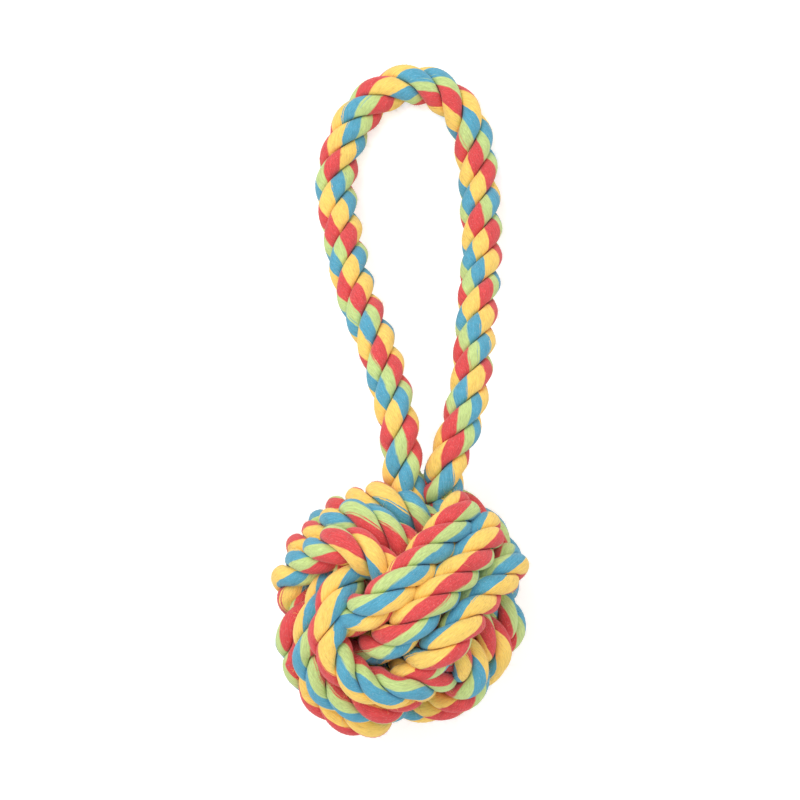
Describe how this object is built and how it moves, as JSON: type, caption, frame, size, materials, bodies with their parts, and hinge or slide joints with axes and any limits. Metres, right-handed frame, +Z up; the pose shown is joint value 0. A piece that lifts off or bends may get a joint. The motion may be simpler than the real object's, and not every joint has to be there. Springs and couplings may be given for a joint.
{
  "type": "rope dog toy",
  "caption": "Dog toy of thick four-colour cotton rope: a knotted ball with a loop of the same rope as its handle.",
  "frame": {"origin": "on the floor, under the middle of the whole toy's bounding box as it lies", "axes": "+Z up; +Y from the ball along the toy's length to the far end of the loop; the picture looks straight down, with +X to its right"},
  "size_m": [0.1048, 0.269, 0.1021],
  "materials": {
    "core_cotton": "matt packed cotton",
    "rope_first_turns": "matt cotton rope in four colours",
    "rope_second_turns": "matt cotton rope in four colours",
    "rope_third_turns": "matt cotton rope in four colours",
    "rope_handle": "matt cotton rope in four colours"
  },
  "bodies": {
    "ball": {"core": "core_cotton", "first_turns": "rope_first_turns", "second_turns": "rope_second_turns", "third_turns": "rope_third_turns", "left_leg_root": "rope_handle", "right_leg_root": "rope_handle"},
    "handle": {"handle_loop": "rope_handle"}
  },
  "joints": [
    {"name": "handle_swing", "type": "hinge", "parent": "ball", "child": "handle", "pos_m": [0.00973, -0.02533, 0.05936], "axis": [1, 0, 0], "range_deg": [-70, 75]}
  ]
}
